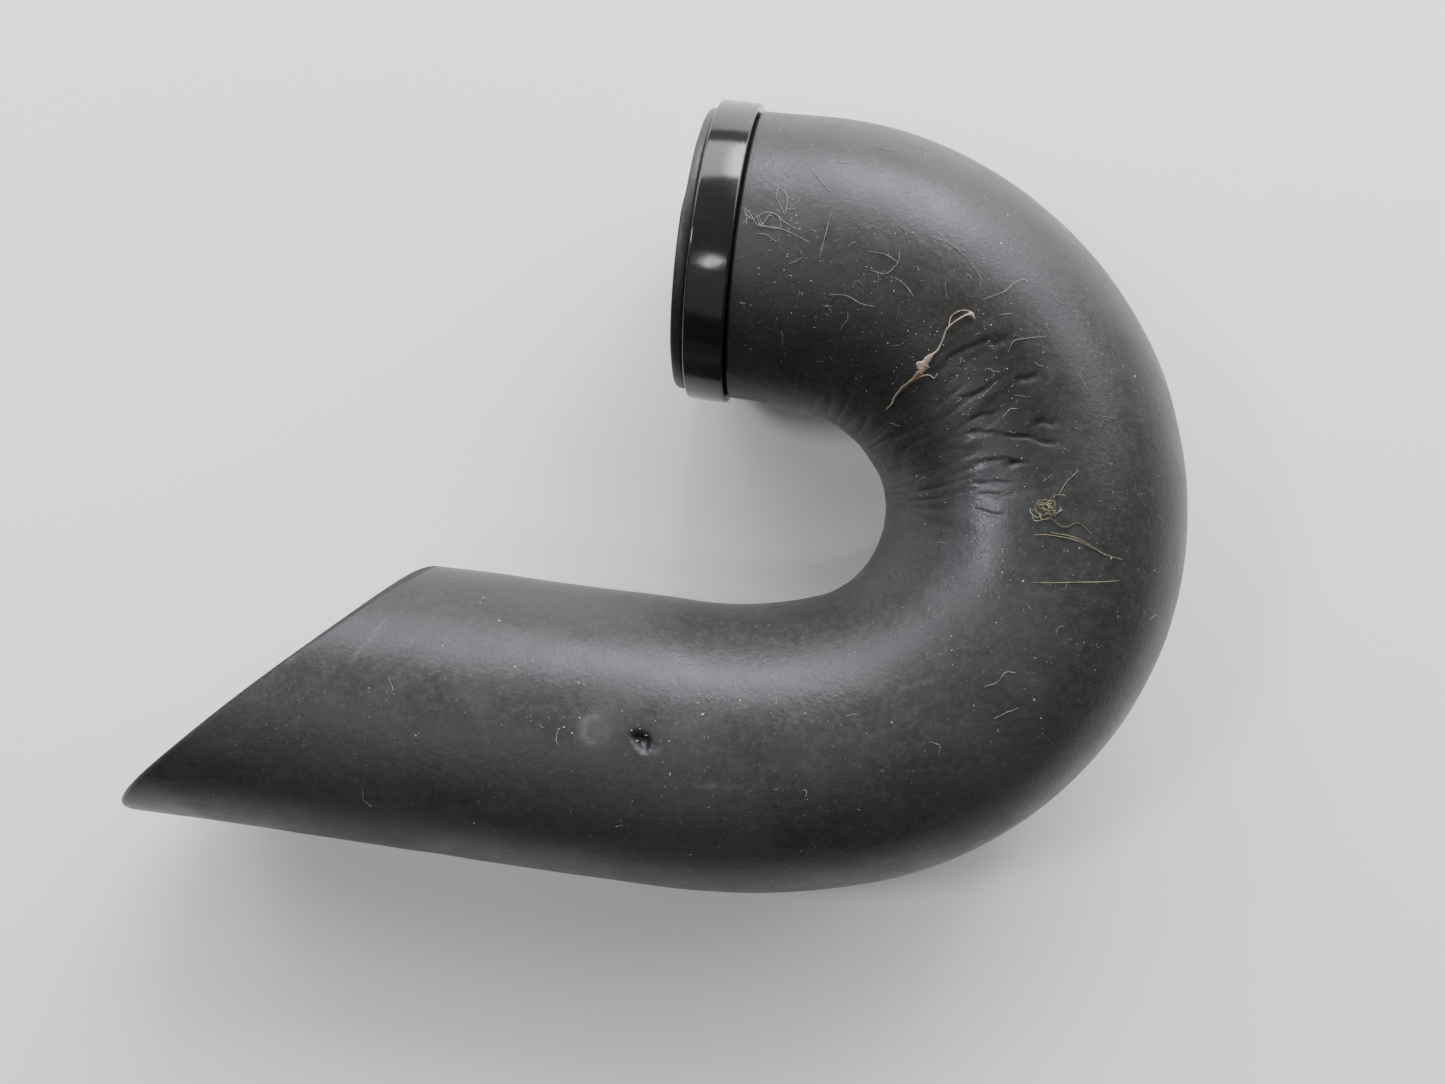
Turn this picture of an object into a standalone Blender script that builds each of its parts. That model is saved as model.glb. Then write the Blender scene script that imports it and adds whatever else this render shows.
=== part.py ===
"""Foam-sleeved J tube of a pool cleaner: a rigid bent pipe inside a thick foam sleeve, with a
retaining ring and a hose cuff at the collar end and a 45 degree mitred mouth at the other.

Every piece is a profile carried along one axis, the tube's centreline. The centreline is a chain
of tangent bends that starts at the collar end. Lengths are in metres and angles in degrees.
"""

import math

import bmesh
import bpy
import numpy as np
from mathutils import Matrix, Vector

# The centreline, seen from above: a straight lead, three bends to the right, a straight leg.
LEAD_HEADING = -8.0
LEAD_LENGTH = 0.0280
BENDS = [
    # (radius, turn)
    (0.0650, 51.0),
    (0.0560, 110.0),
    (0.1280, 19.0),
]
LEG_LENGTH = 0.0975

# The centreline, seen from the side: the collar end dips, the bend is a little raised.
COLLAR_DIP = 5.0
DIP_EASE = 0.0250
BEND_FALL = 1.6
FALL_END = 0.1500
LEVEL_START = 0.1900

# The mouth is one flat cut through sleeve and pipe, square to the plane of the J.
MITRE = 45.0
MITRE_OVERRUN = 0.0420
CUTTER_SIZE = 0.2000

# Fits
GAP = 0.0003
BODY_SEGMENTS = 36
RING_SEGMENTS = 72
BEND_STEP = 6.5

# Rigid bent pipe
PIPE_OUTER = 0.0250
PIPE_WALL = 0.0025

# Foam sleeve: its outside radius at distances along the centreline
LIP_LENGTH = 0.0030
LIP_RADIUS = 0.0336
LIP_CHAMFER = 0.0006
SLEEVE_RADII = [
    # (distance, radius)
    (0.0130, 0.0341),
    (0.0300, 0.0347),
    (0.0600, 0.0351),
    (0.1000, 0.0355),
    (0.1400, 0.0359),
    (0.1800, 0.0352),
    (0.2200, 0.0346),
    (0.2600, 0.0346),
    (0.3400, 0.0338),
]

# Retaining ring, pressed into a neck of the sleeve
RING_WIDTH = 0.0093
RING_OUTER = 0.0357
RING_THICKNESS = 0.0028
RING_ROUNDING = 0.0009

# Hose cuff, a socket for a 38 mm hose end, with its spigot in the pipe
CUFF_RECESS = 0.0010
CUFF_SHOULDER = 0.0135
CUFF_END = 0.0255
CUFF_BORE = 0.0194
CUFF_STOP_BORE = 0.0178
CUFF_STOP = 0.0210
CUFF_LEAD_IN = 0.0012

# O-ring in the cuff's groove
SEAL_SECTION = 0.0015
SEAL_RADIUS = 0.0202
SEAL_PLACE = 0.0078
SEAL_POINTS = 10


def clear_scene():
    for item in list(bpy.data.objects):
        bpy.data.objects.remove(item, do_unlink=True)


def bend_length(radius, turn):
    return radius * math.radians(turn)


LEG_START = LEAD_LENGTH + sum(bend_length(radius, turn) for radius, turn in BENDS)
CUT_PLACE = LEG_START + LEG_LENGTH
TUBE_END = CUT_PLACE + MITRE_OVERRUN


def plan_at(distance):
    """Place in plan and heading in radians, after walking a distance along the centreline."""
    heading = math.radians(LEAD_HEADING)
    run = min(distance, LEAD_LENGTH)
    place = Vector((math.cos(heading), math.sin(heading))) * run
    left = distance - LEAD_LENGTH
    for radius, turn in BENDS:
        if left <= 0:
            return place, heading
        part = min(left, bend_length(radius, turn)) / radius
        middle = heading - part / 2
        place += Vector((math.cos(middle), math.sin(middle))) * 2 * radius * math.sin(part / 2)
        heading -= part
        left -= bend_length(radius, turn)
    if left > 0:
        place += Vector((math.cos(heading), math.sin(heading))) * left
    return place, heading


def climb_at(distance):
    """Height gained and slope: the slope runs straight between its knots, so trapezoids are exact."""
    dip = math.tan(math.radians(COLLAR_DIP))
    fall = -math.tan(math.radians(BEND_FALL))
    knots = [-1.0, LEAD_LENGTH, LEAD_LENGTH + DIP_EASE, FALL_END, LEVEL_START, 1.0]
    slopes = [dip, dip, fall, fall, 0.0, 0.0]
    stops = [0.0] + [knot for knot in knots if 0.0 < knot < distance] + [distance]
    values = np.interp(stops, knots, slopes)
    height = sum(
        (values[i] + values[i + 1]) / 2 * (stops[i + 1] - stops[i]) for i in range(len(stops) - 1)
    )
    return height, values[-1]


def station(distance):
    """Point on the centreline, and the level and the upright direction square to it there."""
    place, heading = plan_at(distance)
    height, slope = climb_at(distance)
    along = Vector((math.cos(heading), math.sin(heading), slope)).normalized()
    side = Vector((-math.sin(heading), math.cos(heading), 0.0))
    return Vector((place.x, place.y, height)), side, along.cross(side)


def turned(name, profile, segments, colour, roughness):
    """A closed wall: each (distance, radius) of the profile is one loop round the centreline."""
    mesh = bpy.data.meshes.new(name)
    shape = bmesh.new()
    loops = []
    for distance, radius in profile:
        centre, side, upright = station(distance)
        angles = (2 * math.pi * i / segments for i in range(segments))
        loops.append(
            [
                shape.verts.new(centre + (side * math.cos(a) + upright * math.sin(a)) * radius)
                for a in angles
            ]
        )
    for i, first in enumerate(loops):
        second = loops[(i + 1) % len(loops)]
        for j in range(segments):
            k = (j + 1) % segments
            shape.faces.new((first[j], second[j], second[k], first[k]))
    bmesh.ops.recalc_face_normals(shape, faces=shape.faces)
    shape.to_mesh(mesh)
    shape.free()
    mesh.shade_smooth()
    mesh.set_sharp_from_angle(angle=math.radians(35))
    piece = bpy.data.objects.new(name, mesh)
    bpy.context.scene.collection.objects.link(piece)
    piece.data.materials.append(finish(name, colour, roughness))
    return piece


def finish(name, colour, roughness):
    material = bpy.data.materials.new(name)
    material.use_nodes = True
    shader = material.node_tree.nodes["Principled BSDF"]
    shader.inputs["Base Color"].default_value = (*colour, 1.0)
    shader.inputs["Roughness"].default_value = roughness
    shader.inputs["Metallic"].default_value = 0.0
    return material


def rounded_corner(distance, radius, size, start, points=4):
    """Points of a quarter round, from its start angle through 90 degrees less."""
    turn = [math.radians(start - 90 * i / (points - 1)) for i in range(points)]
    return [(distance + size * math.cos(a), radius + size * math.sin(a)) for a in turn]


def body_stations(first, last):
    """Distances along the centreline: close together in the bends, far apart on the straights."""
    marks = [first, LEAD_LENGTH]
    for radius, turn in BENDS:
        steps = math.ceil(turn / BEND_STEP)
        start = marks[-1]
        marks += [start + bend_length(radius, turn) * (i + 1) / steps for i in range(steps)]
    marks += [LEG_START + LEG_LENGTH / 2, last]
    return marks


def sleeve_radius(distance):
    places, radii = zip(*SLEEVE_RADII)
    return float(np.interp(distance, places, radii))


def foam_sleeve():
    bore = PIPE_OUTER + GAP
    neck = RING_OUTER - RING_THICKNESS - GAP
    neck_end = LIP_LENGTH + RING_WIDTH + 2 * GAP
    outside = [
        (0.0, LIP_RADIUS - LIP_CHAMFER),
        (LIP_CHAMFER, LIP_RADIUS),
        (LIP_LENGTH, LIP_RADIUS),
        (LIP_LENGTH, neck),
        (neck_end, neck),
    ]
    outside += [(mark, sleeve_radius(mark)) for mark in body_stations(neck_end, TUBE_END)]
    inside = [(mark, bore) for mark in reversed(body_stations(0.0, TUBE_END))]
    return turned("foam_sleeve", outside + inside, BODY_SEGMENTS, (0.045, 0.045, 0.047), 0.75)


def inner_tube():
    first = CUFF_SHOULDER + GAP
    marks = body_stations(first, TUBE_END)
    outside = [(mark, PIPE_OUTER) for mark in marks]
    inside = [(mark, PIPE_OUTER - PIPE_WALL) for mark in reversed(marks)]
    return turned("inner_tube", outside + inside, BODY_SEGMENTS, (0.03, 0.03, 0.032), 0.45)


def retaining_ring():
    first = LIP_LENGTH + GAP
    last = first + RING_WIDTH
    inner = RING_OUTER - RING_THICKNESS
    centre = RING_OUTER - RING_ROUNDING
    profile = [(last, inner), (first, inner)]
    profile += rounded_corner(first + RING_ROUNDING, centre, RING_ROUNDING, 180)
    profile += rounded_corner(last - RING_ROUNDING, centre, RING_ROUNDING, 90)
    return turned("retaining_ring", profile, RING_SEGMENTS, (0.012, 0.012, 0.013), 0.12)


def hose_cuff():
    spigot = PIPE_OUTER - PIPE_WALL - GAP
    groove_half = SEAL_SECTION + GAP
    groove_floor = SEAL_RADIUS + SEAL_SECTION + GAP
    profile = [
        (CUFF_RECESS, PIPE_OUTER),
        (CUFF_SHOULDER, PIPE_OUTER),
        (CUFF_SHOULDER, spigot),
        (CUFF_END, spigot),
        (CUFF_END, CUFF_STOP_BORE),
        (CUFF_STOP, CUFF_STOP_BORE),
        (CUFF_STOP, CUFF_BORE),
        (SEAL_PLACE + groove_half, CUFF_BORE),
        (SEAL_PLACE + groove_half, groove_floor),
        (SEAL_PLACE - groove_half, groove_floor),
        (SEAL_PLACE - groove_half, CUFF_BORE),
        (CUFF_RECESS + CUFF_LEAD_IN, CUFF_BORE),
        (CUFF_RECESS, CUFF_BORE + CUFF_LEAD_IN),
    ]
    return turned("hose_cuff", profile, BODY_SEGMENTS, (0.02, 0.02, 0.022), 0.35)


def cuff_seal():
    turn = [2 * math.pi * i / SEAL_POINTS for i in range(SEAL_POINTS)]
    profile = [
        (SEAL_PLACE + SEAL_SECTION * math.cos(a), SEAL_RADIUS + SEAL_SECTION * math.sin(a))
        for a in turn
    ]
    return turned("cuff_seal", profile, BODY_SEGMENTS, (0.015, 0.015, 0.015), 0.5)


def mitre_cutter():
    """A block whose near face is the mouth's plane."""
    centre, _, _ = station(CUT_PLACE)
    _, heading = plan_at(CUT_PLACE)
    facing = heading - math.radians(MITRE)
    outward = Vector((math.cos(facing), math.sin(facing), 0.0))
    mesh = bpy.data.meshes.new("mitre_cutter")
    shape = bmesh.new()
    bmesh.ops.create_cube(shape, size=CUTTER_SIZE)
    place = Matrix.Translation(centre + outward * CUTTER_SIZE / 2)
    shape.transform(place @ Matrix.Rotation(facing, 4, "Z"))
    shape.to_mesh(mesh)
    shape.free()
    cutter = bpy.data.objects.new("mitre_cutter", mesh)
    bpy.context.scene.collection.objects.link(cutter)
    cutter.hide_render = True
    cutter.display_type = "WIRE"
    return cutter


def cut_mouth(piece, cutter):
    cut = piece.modifiers.new("mouth", "BOOLEAN")
    cut.operation = "DIFFERENCE"
    cut.solver = "EXACT"
    cut.object = cutter


def stand_on_origin(pieces, holder):
    """Moves the holder so that the pieces' box is centred over the origin and stands on z = 0."""
    bpy.context.view_layer.update()
    graph = bpy.context.evaluated_depsgraph_get()
    points = []
    for piece in pieces:
        shown = piece.evaluated_get(graph)
        points += [shown.matrix_world @ vert.co for vert in shown.data.vertices]
    low = Vector([min(p[i] for p in points) for i in range(3)])
    high = Vector([max(p[i] for p in points) for i in range(3)])
    holder.location = Vector((-(low.x + high.x) / 2, -(low.y + high.y) / 2, -low.z))


def main():
    clear_scene()
    holder = bpy.data.objects.new("j_tube", None)
    bpy.context.scene.collection.objects.link(holder)
    cutter = mitre_cutter()
    pieces = [foam_sleeve(), inner_tube(), retaining_ring(), hose_cuff(), cuff_seal()]
    for piece in pieces[:2]:
        cut_mouth(piece, cutter)
    for piece in pieces + [cutter]:
        piece.parent = holder
    stand_on_origin(pieces, holder)


main()
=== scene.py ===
import math

import bpy
import numpy as np
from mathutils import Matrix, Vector


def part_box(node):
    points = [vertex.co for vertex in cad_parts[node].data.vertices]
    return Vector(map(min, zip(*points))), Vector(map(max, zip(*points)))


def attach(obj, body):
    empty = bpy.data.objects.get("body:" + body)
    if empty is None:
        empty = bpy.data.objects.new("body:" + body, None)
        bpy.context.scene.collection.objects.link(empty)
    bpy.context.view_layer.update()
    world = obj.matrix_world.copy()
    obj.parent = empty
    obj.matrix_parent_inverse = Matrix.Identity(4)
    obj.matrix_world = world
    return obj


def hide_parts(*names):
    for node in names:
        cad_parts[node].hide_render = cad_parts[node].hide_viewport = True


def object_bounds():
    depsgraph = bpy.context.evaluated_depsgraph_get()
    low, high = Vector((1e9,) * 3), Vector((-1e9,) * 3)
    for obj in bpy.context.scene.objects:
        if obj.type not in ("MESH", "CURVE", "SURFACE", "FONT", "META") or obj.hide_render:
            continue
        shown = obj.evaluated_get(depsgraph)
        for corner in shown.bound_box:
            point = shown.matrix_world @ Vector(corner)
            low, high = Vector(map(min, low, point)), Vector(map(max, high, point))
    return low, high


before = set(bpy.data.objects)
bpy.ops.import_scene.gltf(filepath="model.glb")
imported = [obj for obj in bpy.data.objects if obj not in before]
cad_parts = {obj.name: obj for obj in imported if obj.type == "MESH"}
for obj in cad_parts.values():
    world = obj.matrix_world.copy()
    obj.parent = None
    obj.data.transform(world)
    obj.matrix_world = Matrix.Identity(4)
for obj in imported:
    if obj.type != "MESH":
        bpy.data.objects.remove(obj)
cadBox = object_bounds()
print("frame loaded")

# The tube's own places: a distance along its centreline from the collar end, and an angle round it
# (0 on the outer side of the J, 90 on top, 180 on the inner side). Lengths are in metres.
axisLine = {
    "step": 0.0001,
    "reach": 0.3850,
    "heading": -8.0,
    "lead": 0.0280,
    "bends": [(0.0650, 51.0), (0.0560, 110.0), (0.1280, 19.0)],  # radius, turn to the right
    "leg": 0.0975,
    "dip": 5.0,
    "dipEase": 0.0250,
    "fall": 1.6,
    "fallEnd": 0.1500,
    "levelStart": 0.1900,
    "ringMiddle": 0.00795,
}


def boxMiddle(node):
    lowest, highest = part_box(node)
    return (np.array(lowest) + np.array(highest)) / 2


def runningSum(values, places):
    # the area under the values, by trapezoids, up to each place
    return np.concatenate([[0.0], np.cumsum((values[1:] + values[:-1]) / 2 * np.diff(places))])


def walkAxis():
    # centreline(place) = running sum of (cos heading, sin heading, slope), moved so that the ring sits on it
    line = axisLine
    places = np.arange(0.0, line["reach"], line["step"])
    knots, headings = [0.0, line["lead"]], [line["heading"]] * 2
    for radius, turn in line["bends"]:
        knots.append(knots[-1] + radius * math.radians(turn))
        headings.append(headings[-1] - turn)
    heading = np.radians(np.interp(places, knots, headings))
    dip, fall = math.tan(math.radians(line["dip"])), -math.tan(math.radians(line["fall"]))
    slopeKnots = [line["lead"], line["lead"] + line["dipEase"], line["fallEnd"], line["levelStart"]]
    slope = np.interp(places, slopeKnots, [dip, fall, fall, 0.0])
    steps = [np.cos(heading), np.sin(heading), slope]
    points = np.stack([runningSum(step, places) for step in steps], axis=1)
    points += boxMiddle("retaining_ring") - points[np.searchsorted(places, line["ringMiddle"])]
    return {
        "places": places,
        "points": points,
        "heading": heading,
        "slope": slope,
        "cut": knots[-1] + line["leg"],
    }


walk = walkAxis()


def unit(vectors):
    return vectors / np.linalg.norm(vectors, axis=-1, keepdims=True)


def axisFrames(place):
    # side = (-sin heading, cos heading, 0), along = (cos heading, sin heading, slope), upright = along x side
    heading = np.interp(place, walk["places"], walk["heading"])
    slope = np.interp(place, walk["places"], walk["slope"])
    columns = [np.interp(place, walk["places"], walk["points"][:, i]) for i in range(3)]
    centre = np.stack(columns, axis=-1)
    side = np.stack([-np.sin(heading), np.cos(heading), np.zeros_like(heading)], axis=-1)
    along = unit(np.stack([np.cos(heading), np.sin(heading), slope], axis=-1))
    return centre, side, np.cross(along, side)


def tubePoint(place, angle, radius):
    # point = centre + (side cos angle + upright sin angle) radius
    centre, side, upright = axisFrames(place)
    outward = side * np.cos(angle)[..., None] + upright * np.sin(angle)[..., None]
    return centre + outward * radius[..., None]


def softNoise(u, v, seed, around=0):
    # random heights on a unit lattice, eased from cell to cell by 3t^2 - 2t^3; v repeats after `around` cells
    cells = 128
    heights = np.random.default_rng(seed).uniform(-1.0, 1.0, (cells, cells))
    i, j = np.floor(u).astype(int), np.floor(v).astype(int)
    s, t = u - i, v - j
    s, t = s * s * (3 - 2 * s), t * t * (3 - 2 * t)
    wrap = around or cells
    near, far = j % wrap, (j + 1) % wrap
    low = heights[i % cells, near] * (1 - s) + heights[(i + 1) % cells, near] * s
    high = heights[i % cells, far] * (1 - s) + heights[(i + 1) % cells, far] * s
    return low * (1 - t) + high * t


def hill(distance, width):
    # exp(-(distance / width)^2 / 2)
    return np.exp(-((distance / width) ** 2) / 2)


def ramp(value, start, end):
    # 0 before start, 1 after end, 3t^2 - 2t^3 between
    t = np.clip((value - start) / (end - start), 0.0, 1.0)
    return t * t * (3 - 2 * t)


def angleFrom(angle, degrees):
    # the shorter way round from a fixed angle, in degrees
    return (np.degrees(angle) - degrees + 180.0) % 360.0 - 180.0


def newObject(name, data):
    thing = bpy.data.objects.new(name, data)
    bpy.context.scene.collection.objects.link(thing)
    return thing


def newPiece(name, points, faces, material, slot):
    mesh = bpy.data.meshes.new(name)
    mesh.from_pydata(points, [], faces)
    mesh.shade_smooth()
    piece = newObject(name, mesh)
    mesh.materials.append(material)
    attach(piece, "root")
    return piece


def closedGrid(name, points, material, slot, **fields):
    # a grid (loops, points round, xyz) joined end to end both ways; faces turned outward by the signed
    # volume, the sum of first . (second x third) / 6
    loops, around = points.shape[:2]
    i, j = np.meshgrid(np.arange(loops), np.arange(around), indexing="ij")
    nextI, nextJ = (i + 1) % loops, (j + 1) % around
    corners = [i * around + j, nextI * around + j, nextI * around + nextJ, i * around + nextJ]
    faces = np.stack(corners, axis=-1).reshape(-1, 4)
    flat = points.reshape(-1, 3)
    a, b, c, d = (flat[faces[:, k]] for k in range(4))
    volume = np.einsum("ij,ij->i", a, np.cross(b, c) + np.cross(c, d)).sum()
    if volume < 0:
        faces = faces[:, ::-1]
    piece = newPiece(name, flat.tolist(), faces.tolist(), material, slot)
    for field, values in fields.items():
        stored = piece.data.attributes.new(field, "FLOAT", "POINT")
        stored.data.foreach_set("value", values.astype(np.float32).ravel())
    return piece


def rounded(profile, size, steps=5):
    # each corner P becomes the curve (1-t)^2 A + 2t(1-t) P + t^2 B, with A and B on its two edges
    profile = np.array(profile)
    before, after = np.roll(profile, 1, axis=0) - profile, np.roll(profile, -1, axis=0) - profile
    reach = [np.linalg.norm(edge, axis=1, keepdims=True) for edge in (before, after)]
    start = profile + before * np.minimum(size / reach[0], 0.48)
    end = profile + after * np.minimum(size / reach[1], 0.48)
    t = np.linspace(0.0, 1.0, steps)[None, :, None]
    start, corner, end = start[:, None], profile[:, None], end[:, None]
    return ((1 - t) ** 2 * start + 2 * t * (1 - t) * corner + t * t * end).reshape(-1, 2)


def turnedPiece(name, profile, around, material, slot):
    # point(i, angle) = tubePoint(distance of i, angle, radius of i)
    angle = np.linspace(0.0, 2 * np.pi, around, endpoint=False)
    place, angle = np.meshgrid(profile[:, 0], angle, indexing="ij")
    radius = np.repeat(profile[:, 1:2], around, axis=1)
    return closedGrid(name, tubePoint(place, angle, radius), material, slot)


def newGroup(name, inputs, outputs):
    # inputs and outputs are (name, socket kind, default) and (name, socket kind)
    tree = bpy.data.node_groups.new(name, "ShaderNodeTree")
    for label, kind, value in inputs:
        socket = tree.interface.new_socket(name=label, in_out="INPUT", socket_type=kind)
        if value is not None:
            socket.default_value = value
    for label, kind in outputs:
        tree.interface.new_socket(name=label, in_out="OUTPUT", socket_type=kind)
    return tree, tree.nodes.new("NodeGroupInput").outputs, tree.nodes.new("NodeGroupOutput").inputs


def addNode(tree, kind, **settings):
    # a node with its properties and its unlinked inputs set; input names use _ for a space
    node = tree.nodes.new(kind)
    for key, value in settings.items():
        label = key.replace("_", " ")
        if label in node.inputs:
            node.inputs[label].default_value = value
        else:
            setattr(node, key, value)
    return node


def link(tree, source, target):
    tree.links.new(source, target)


def feed(tree, value, target):
    # a socket is linked to the target, anything else becomes the target's own value
    if isinstance(value, bpy.types.NodeSocket):
        link(tree, value, target)
    else:
        target.default_value = value


def sums(tree, operation, first, second, clamp=False):
    # first and second are sockets or numbers
    node = tree.nodes.new("ShaderNodeMath")
    node.operation = operation
    node.use_clamp = clamp
    feed(tree, first, node.inputs[0])
    feed(tree, second, node.inputs[1])
    return node.outputs[0]


def scaled(tree, value, share):
    return sums(tree, "MULTIPLY", value, share)


def spread(tree, value, low, high):
    # 0 at low, 1 at high
    node = addNode(tree, "ShaderNodeMapRange", interpolation_type="SMOOTHSTEP")
    feed(tree, value, node.inputs["Value"])
    feed(tree, low, node.inputs["From Min"])
    feed(tree, high, node.inputs["From Max"])
    return node.outputs["Result"]


def blendColours(tree, factor, first, second):
    node = tree.nodes.new("ShaderNodeMix")
    node.data_type = "RGBA"
    link(tree, factor, node.inputs["Factor"])
    for index, value in ((6, first), (7, second)):
        feed(tree, (*value, 1.0) if isinstance(value, tuple) else value, node.inputs[index])
    return node.outputs[2]


def grainGroup():
    # fine skin: two sizes of noise and small pores, as a height, and a slow mottle for colour
    tree, given, result = newGroup(
        "skinGrain",
        [("Vector", "NodeSocketVector", None), ("Scale", "NodeSocketFloat", 1800.0)],
        [("Height", "NodeSocketFloat"), ("Mottle", "NodeSocketFloat")],
    )
    fine = addNode(tree, "ShaderNodeTexNoise", Detail=3.0, Roughness=0.6)
    pores = addNode(tree, "ShaderNodeTexVoronoi", feature="SMOOTH_F1", Smoothness=0.4)
    mottle = addNode(tree, "ShaderNodeTexNoise", Scale=140.0, Detail=4.0, Roughness=0.6)
    for node in (fine, pores, mottle):
        link(tree, given["Vector"], node.inputs["Vector"])
    link(tree, given["Scale"], fine.inputs["Scale"])
    link(tree, scaled(tree, given["Scale"], 0.55), pores.inputs["Scale"])
    pitted = scaled(tree, pores.outputs["Distance"], 0.5)
    link(tree, sums(tree, "ADD", fine.outputs["Fac"], pitted), result["Height"])
    link(tree, mottle.outputs["Fac"], result["Mottle"])
    return tree


def speckGroup():
    # dust: a dot in some cells of a cell pattern; Share is how many cells hold one
    tree, given, result = newGroup(
        "dustSpecks",
        [
            ("Vector", "NodeSocketVector", None),
            ("Scale", "NodeSocketFloat", 400.0),
            ("Share", "NodeSocketFloat", 0.3),
            ("Size", "NodeSocketFloat", 0.16),
        ],
        [("Mask", "NodeSocketFloat")],
    )
    cells = addNode(tree, "ShaderNodeTexVoronoi", Randomness=1.0)
    link(tree, given["Vector"], cells.inputs["Vector"])
    link(tree, given["Scale"], cells.inputs["Scale"])
    parts = tree.nodes.new("ShaderNodeSeparateColor")
    link(tree, cells.outputs["Color"], parts.inputs["Color"])
    chosen = sums(tree, "LESS_THAN", parts.outputs["Red"], given["Share"])
    reach = sums(tree, "MULTIPLY", given["Size"], parts.outputs["Green"])
    dot = spread(tree, cells.outputs["Distance"], reach, scaled(tree, reach, 0.5))
    link(tree, sums(tree, "MULTIPLY", chosen, dot), result["Mask"])
    return tree


def smearGroup():
    # broad uneven patches: a noise cut between Low and High
    tree, given, result = newGroup(
        "smears",
        [
            ("Vector", "NodeSocketVector", None),
            ("Scale", "NodeSocketFloat", 25.0),
            ("Low", "NodeSocketFloat", 0.45),
            ("High", "NodeSocketFloat", 0.7),
        ],
        [("Mask", "NodeSocketFloat")],
    )
    noise = addNode(tree, "ShaderNodeTexNoise", Detail=5.0, Roughness=0.62, Distortion=0.25)
    link(tree, given["Vector"], noise.inputs["Vector"])
    link(tree, given["Scale"], noise.inputs["Scale"])
    mask = spread(tree, noise.outputs["Fac"], given["Low"], given["High"])
    link(tree, mask, result["Mask"])
    return tree


def scratchGroup():
    # hairline scratches: a noise stretched one way, kept where it crosses its middle
    tree, given, result = newGroup(
        "hairlines",
        [
            ("Vector", "NodeSocketVector", None),
            ("Stretch", "NodeSocketVector", (60.0, 900.0, 900.0)),
            ("Turn", "NodeSocketVector", (0.0, 0.0, 0.0)),
            ("Width", "NodeSocketFloat", 0.012),
        ],
        [("Mask", "NodeSocketFloat")],
    )
    turned = addNode(tree, "ShaderNodeMapping")
    link(tree, given["Vector"], turned.inputs["Vector"])
    link(tree, given["Turn"], turned.inputs["Rotation"])
    link(tree, given["Stretch"], turned.inputs["Scale"])
    noise = addNode(tree, "ShaderNodeTexNoise", Scale=1.0, Detail=1.0, Roughness=0.4)
    link(tree, turned.outputs["Vector"], noise.inputs["Vector"])
    offset = sums(tree, "ABSOLUTE", sums(tree, "SUBTRACT", noise.outputs["Fac"], 0.5), 0.0)
    link(tree, spread(tree, offset, given["Width"], 0.0), result["Mask"])
    return tree


groups = {
    "grain": grainGroup(),
    "specks": speckGroup(),
    "smears": smearGroup(),
    "hairlines": scratchGroup(),
}


def useGroup(tree, group, vector, **values):
    node = tree.nodes.new("ShaderNodeGroup")
    node.node_tree = groups[group]
    link(tree, vector, node.inputs["Vector"])
    for label, value in values.items():
        node.inputs[label].default_value = value
    return node.outputs


def newMaterial(name, colour, roughness, **sockets):
    material = bpy.data.materials.new(name)
    material.use_nodes = True
    tree = material.node_tree
    shader = tree.nodes["Principled BSDF"]
    shader.inputs["Base Color"].default_value = (*colour, 1.0)
    shader.inputs["Roughness"].default_value = roughness
    for label, value in sockets.items():
        shader.inputs[label.replace("_", " ")].default_value = value
    vector = tree.nodes.new("ShaderNodeTexCoord").outputs["Object"]
    return material, tree, shader, vector


def bumpOf(tree, shader, height, strength, distance, previous=None):
    bump = addNode(tree, "ShaderNodeBump", Strength=strength, Distance=distance)
    link(tree, height, bump.inputs["Height"])
    if previous:
        link(tree, previous, bump.inputs["Normal"])
    link(tree, bump.outputs["Normal"], shader.inputs["Normal"])
    return bump.outputs["Normal"]


print("shader groups made")


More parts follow.
